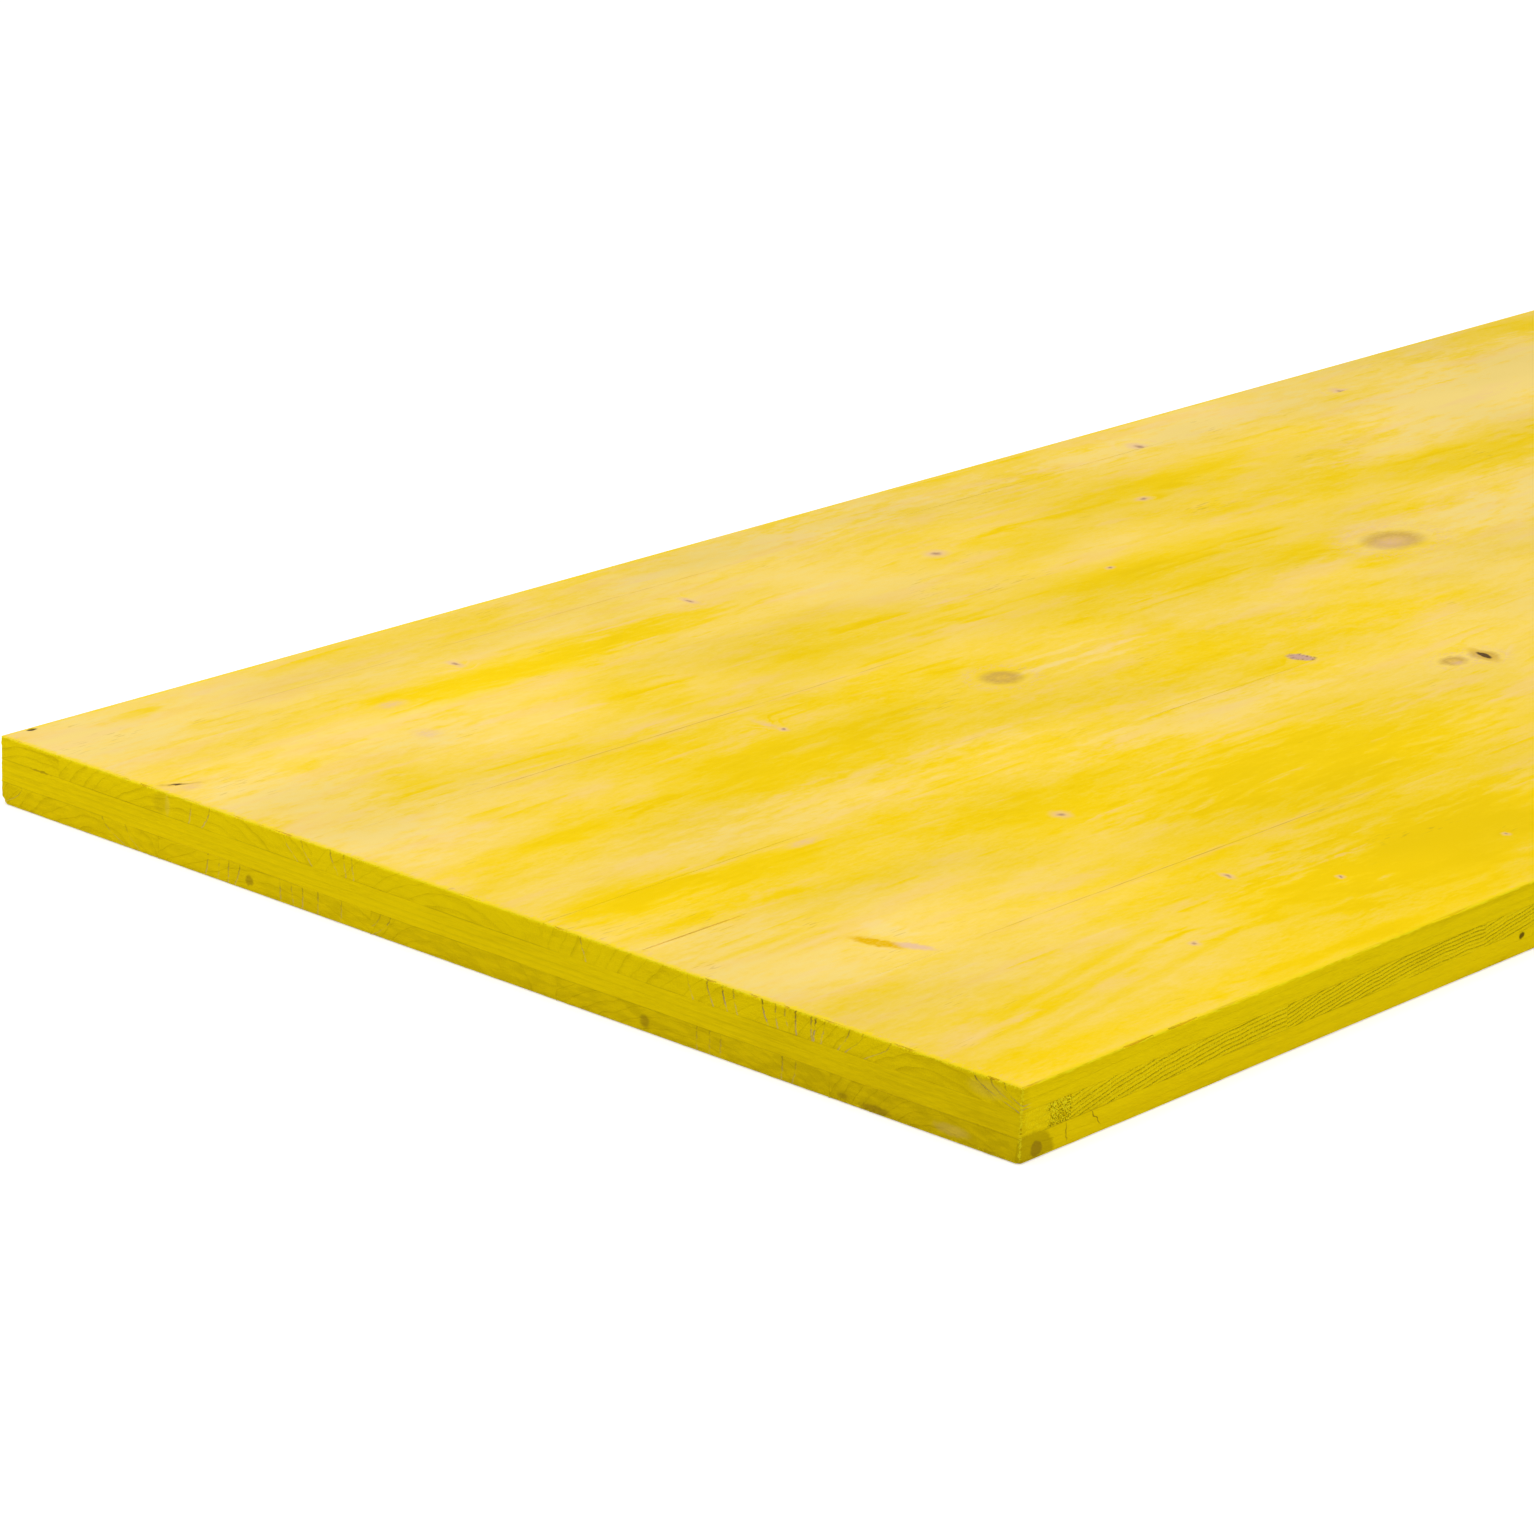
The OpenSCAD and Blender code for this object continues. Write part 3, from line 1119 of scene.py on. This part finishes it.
def hairline(g, seam, along, across, streak):
    """How strongly a glue joint shows, broken up along the stretch where it is seen.

    The second value is how bare the wood is in a border beside it.
    """
    away = g.math("ABSOLUTE", g.minus(across, float(seam.across)))
    reach = g.math("ABSOLUTE", g.minus(along, (seam.start + seam.stop) / 2))
    half = (seam.stop - seam.start) / 2
    broken = g.step(streak, *SEAM_BROKEN)
    shown = g.times(g.step(reach, SEAM_FULL * half, half, seam.strength, 0.0), broken)
    border = g.step(g.plus(away, g.weighed((streak, SEAM_RAGGED))), *SEAM_BORDER)
    return g.times(shown, g.step(away, *SEAM_LINE)), g.times(shown, border)


def knotted(g, colour, knot, around, fibre):
    """Lays one knot over a board's colour."""
    for layer in KNOT_LAYERS[knot.kind]:
        shown = g.step(around, *layer.fade)
        if layer.rise:
            shown = g.times(g.step(around, *layer.rise), shown)
        if layer.fibre:
            shown = g.times(shown, g.step(fibre, *layer.fibre))
        colour = g.mix(shown, colour, layer.colour or knot_rings(g, around))
    return colour


def knot_rings(g, around):
    """The rings of a round knot."""
    turns = g.math("SINE", g.times(around, KNOT_TURNS))
    heart = g.plus(g.step(around, *KNOT_HEART), g.times(turns, KNOT_TURN_WEIGHT))
    return g.mix(heart, KNOT_GREY, KNOT_TAN)


def cut_material(board):
    """The sawn edges and ends, where the glaze lies thick over the grain."""
    g = Graph(board.node + "_cut")
    point = grain_point(g, board)
    late, each = rings(g, board, flowing(g, board, point), 0.0)
    cloud = g.noise(point, CUT_CLOUD, board.seed)
    pore = g.noise(point, PORE, board.seed)
    saw = g.noise(point, SAW, board.seed)
    blotch = g.noise(point, BLOTCH, board.seed)
    place = sheet_point(g)
    along, across, up = g.split(place)
    from_end = g.from_sides(along, SIZE[0])
    on_end = g.step(from_end, *ON_END)
    # Painted shade on the ends, darkest at the near corner; it goes into the uneven tone and relief
    # below
    painted_corner_shade = g.times(on_end, g.step(across, *PAINTED_CORNER_SHADE_ACROSS))
    uneven = g.plus(painted_corner_shade, g.weighed(
        (cloud, CUT_CLOUD_WEIGHT), (blotch, BLOTCH_WEIGHT), (pore, PORE_WEIGHT), (saw, SAW_WEIGHT)))
    if board.layer == "core":
        colour, height = strip_cut(g, board, from_end, late, each, uneven, pore)
    else:
        colour, height = board_cut(g, late, each, uneven)
    # Painted highlights and shade on the torn end grain
    if board.is_torn:
        colour = torn_fibres(g, colour, from_end, blotch, pore)
    # Painted shade: the bottom layer's ends are darkened, most towards the near edge
    if board.layer == "bottom":
        low = g.times(on_end, g.step(across, *PAINTED_LOW_SHADE_ACROSS))
        colour = g.mix(g.times(low, g.step(blotch, *PAINTED_LOW_SHADE_BLOTCHED)), colour, PAINTED_LOW_SHADE_AND_KNOT_HALO)
    if board.checks:
        marks, tint = checks_on(g, board, point, saw, blotch)
        colour = g.mix(marks, colour, tint)
        height = g.minus(height, g.times(marks, CHECK_DEPTH))
    for joint in (board.low[2], board.high[2]):
        away = g.math("ABSOLUTE", g.minus(up, float(joint)))
        glue = g.times(g.step(away, *GLUE_FADE), g.step(cloud, *GLUE_BROKEN))
        colour = g.mix(glue, colour, GLUE_LINE)
    colour = stained(g, board, colour, place)
    # Worn glaze and a painted highlight along the outer edges
    colour = g.mix(edge_wear(g, place, pore), colour, BRIGHT_WEAR_AND_HIGHLIGHT)
    return finished(g, colour, height, g.step(cloud, *CUT_ROUGHNESS), CUT_RELIEF)


def board_cut(g, late, each, uneven):
    """Colour and height of a face board's sawn sides, with its wide rings."""
    ringed = g.times(late, g.step(each, *BOARD_RINGS))
    colour = g.mix(g.step(g.plus(ringed, uneven), *BOARD_SHADES), CUT_GLAZE, CUT_SHADE)
    return colour, g.plus(g.times(late, BOARD_RING_HEIGHT), uneven)


def strip_cut(g, board, from_end, late, each, uneven, pore):
    """Colour and height of a core strip's sawn sides.

    Its own ends have close rings, and its long edges at the sheet's ends stay smooth.
    """
    line = g.times(late, g.step(each, *STRIP_RINGS))
    if board.is_torn:
        line = g.times(line, TORN_RINGS)
    else:
        broken = g.times(line, g.step(pore, *STRIP_BROKEN))
        line = g.times(broken, g.step(from_end, *STRIP_OFF_END))
    colour = g.mix(g.step(uneven, *STRIP_SHADES), CUT_GLAZE, CUT_SHADE)
    colour = g.mix(line, colour, CORE_SHADE)
    sparks = g.times(g.step(pore, *SPARK_SHOWN), g.step(from_end, *SPARK_OFF_END))
    colour = g.mix(sparks, colour, BRIGHT_WEAR_AND_HIGHLIGHT)
    return colour, g.minus(g.times(uneven, STRIP_HEIGHT), g.times(line, STRIP_RING_DEPTH))


def torn_fibres(g, colour, from_end, blotch, pore):
    """Light and dark specks where the saw pulled fibres out of the end grain: painted highlights and
    painted shade standing in for the light on the pitted relief.
    """
    start = g.plus(from_end, g.weighed((blotch, TORN_RAGGED)))
    shown = g.step(start, *TORN_FADE)
    colour = g.mix(g.times(shown, g.step(pore, *TORN_PAINTED_SHADE)), colour, CORE_SHADE)
    return g.mix(g.times(shown, g.step(pore, *TORN_PAINTED_HIGHLIGHT)), colour, BRIGHT_WEAR_AND_HIGHLIGHT)


def stained(g, board, colour, place):
    """Lays the marks of a sawn edge or end over its colour."""
    ragged = g.warped(place, g.noise(place, STAIN_EDGE, board.seed), STAIN_RAGGED)
    for stain in board.stains:
        leaned = ragged
        if stain.lean:
            leaned = g.sheared(ragged, 2, stain.middle[2], (-stain.lean, 0.0, 0.0))
        around = g.distance(leaned, stain.middle, stain.half)
        shown = g.step(around, STAIN_OUTLINE - stain.fade, STAIN_OUTLINE, stain.strength, 0.0)
        colour = g.mix(shown, colour, stain.colour)
    return colour


def edge_wear(g, place, pore):
    """How bare the sheet's outer edges are, with a painted highlight on them: a thin ragged bright
    line along each.
    """
    x, y, z = (g.from_sides(v, size) for v, size in zip(g.split(place), SIZE))
    lower = g.math("MINIMUM", x, y)
    higher = g.math("MAXIMUM", x, y)
    second = g.math("MAXIMUM", lower, g.math("MINIMUM", higher, z))
    return g.step(g.plus(second, g.weighed((pore, WEAR_AND_HIGHLIGHT_RAGGED))), *WEAR_AND_HIGHLIGHT_FADE)


def checks_on(g, board, point, saw, blotch):
    """How strongly the drying checks show, on the ends only, and their colour.

    Each bends over as it goes down, and turns from dark to pale.
    """
    along, across, up = g.split(point)
    wobble = g.plus(across, g.weighed((saw, CHECK_WOBBLE)))
    depth = g.minus(float(board.high[2]), up)
    bend = g.times(depth, g.step(depth, *CHECK_BEND))
    marks = 0.0
    for check in board.checks:
        lean = g.plus(g.times(bend, check.lean), check.across)
        away = g.math("ABSOLUTE", g.minus(wobble, lean))
        marks = g.math("MAXIMUM", g.step(away, 0.0, CHECK_WIDTH, check.strength, 0.0), marks)
    end = g.from_sides(along, SIZE[0])
    on_end = g.step(end, *CHECK_OFF_END, CHECK_STRENGTH[board.layer], 0.0)
    shown = g.times(on_end, g.step(blotch, *CHECK_BROKEN))
    turned = g.step(g.plus(depth, g.weighed((blotch, CHECK_RAGGED))), *CHECK_PALE)
    return g.times(shown, marks), g.mix(turned, CHECK_DARK, CHECK_STAIN)


def finished(g, colour, height, roughness, relief):
    """Closes a material: matt glaze with a fine relief in it."""
    bump = g.add(
        "ShaderNodeBump", {"Strength": 1.0, "Distance": relief * MM, "Height": height})
    shader = g.add("ShaderNodeBsdfPrincipled", {
        "Base Color": colour, "Roughness": roughness, "Normal": bump, "Specular IOR Level": SHEEN})
    return g.output(shader)


# Stage

def add_camera():
    data = bpy.data.cameras.new("camera")
    data.lens = LENS_MM
    data.sensor_width = SENSOR_MM
    data.clip_end = VIEW_LIMIT
    camera = bpy.data.objects.new("camera", data)
    place = frame_point((0, 0, SIZE[2])) + np.array(CAMERA_FROM_CORNER) * MM
    heading = Matrix.Rotation(-CAMERA_HEADING, 4, "Z")
    tilt = Matrix.Rotation(math.pi / 2 - CAMERA_DIP, 4, "X")
    roll = Matrix.Rotation(CAMERA_ROLL, 4, "Z")
    camera.matrix_world = Matrix.Translation(Vector(place)) @ heading @ tilt @ roll
    bpy.context.scene.collection.objects.link(camera)
    bpy.context.scene.camera = camera


def seen_directly(nodes, links):
    """1 for rays that show the background as such, 0 for those that light the object."""
    path = nodes.new("ShaderNodeLightPath").outputs
    shown = path["Is Camera Ray"]
    for name in ("Is Glossy Ray", "Is Transmission Ray"):
        either = nodes.new("ShaderNodeMath")
        either.operation = "MAXIMUM"
        links.new(shown, either.inputs[0])
        links.new(path[name], either.inputs[1])
        shown = either.outputs[0]
    return shown


def add_floor():
    """A pale floor that looks white beside the sheet and takes its shadow."""
    mesh = bpy.data.meshes.new("floor")
    corners = [(-1, -1), (1, -1), (1, 1), (-1, 1)]
    points = [(x * FLOOR_HALF, y * FLOOR_HALF, 0.0) for x, y in corners]
    mesh.from_pydata(points, [], [(0, 1, 2, 3)])
    floor = bpy.data.objects.new("floor", mesh)
    floor.location.z = CAD_LOW.z - FLOOR_DROP
    bpy.context.scene.collection.objects.link(floor)
    g = Graph("floor")
    lit = g.add("ShaderNodeBsdfDiffuse", {"Color": (FLOOR_WHITE,) * 3 + (1.0,)})
    glow_strength = g.times(seen_directly(g.nodes, g.links), FLOOR_GLOW)
    glow = g.add("ShaderNodeEmission", {"Color": WHITE, "Strength": glow_strength})
    mesh.materials.append(g.output(g.add("ShaderNodeAddShader", {0: lit, 1: glow})))


def add_light(name, place, aim, size, power):
    data = bpy.data.lights.new(name, "AREA")
    data.shape = "DISK"
    data.size = size
    data.energy = power
    lamp = bpy.data.objects.new(name, data)
    lamp.location = place
    lamp.rotation_euler = (Vector(aim) - Vector(place)).to_track_quat("-Z", "Y").to_euler()
    bpy.context.scene.collection.objects.link(lamp)


def add_world():
    """A soft white sky, seen as plain white."""
    world = bpy.data.worlds.new("sky")
    bpy.context.scene.world = world
    world.use_nodes = True
    nodes, links = world.node_tree.nodes, world.node_tree.links
    strength = nodes.new("ShaderNodeMapRange")
    strength.inputs["To Min"].default_value = SKY_STRENGTH
    strength.inputs["To Max"].default_value = 1.0
    links.new(seen_directly(nodes, links), strength.inputs["Value"])
    background = nodes["Background"]
    background.inputs["Color"].default_value = WHITE
    links.new(strength.outputs[0], background.inputs["Strength"])


def add_board(board):
    piece = bpy.data.objects.new(board.node + "_wood", board_mesh(board))
    bpy.context.scene.collection.objects.link(piece)
    piece.data.materials.append(cut_material(board))
    if board.layer != "core":
        for k in range(STRETCHES):
            piece.data.materials.append(face_material(board, k * STRETCH, (k + 1) * STRETCH))
    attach(piece, "root")
    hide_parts(board.node)
    board.slot


add_camera()
add_world()
add_floor()
for lamp in LAMPS:
    add_light(*lamp)
for layer in (top_boards, core_strips, bottom_boards):
    for piece in layer():
        add_board(piece)
bpy.context.scene.view_settings.view_transform = "Standard"

bpy.context.view_layer.update()
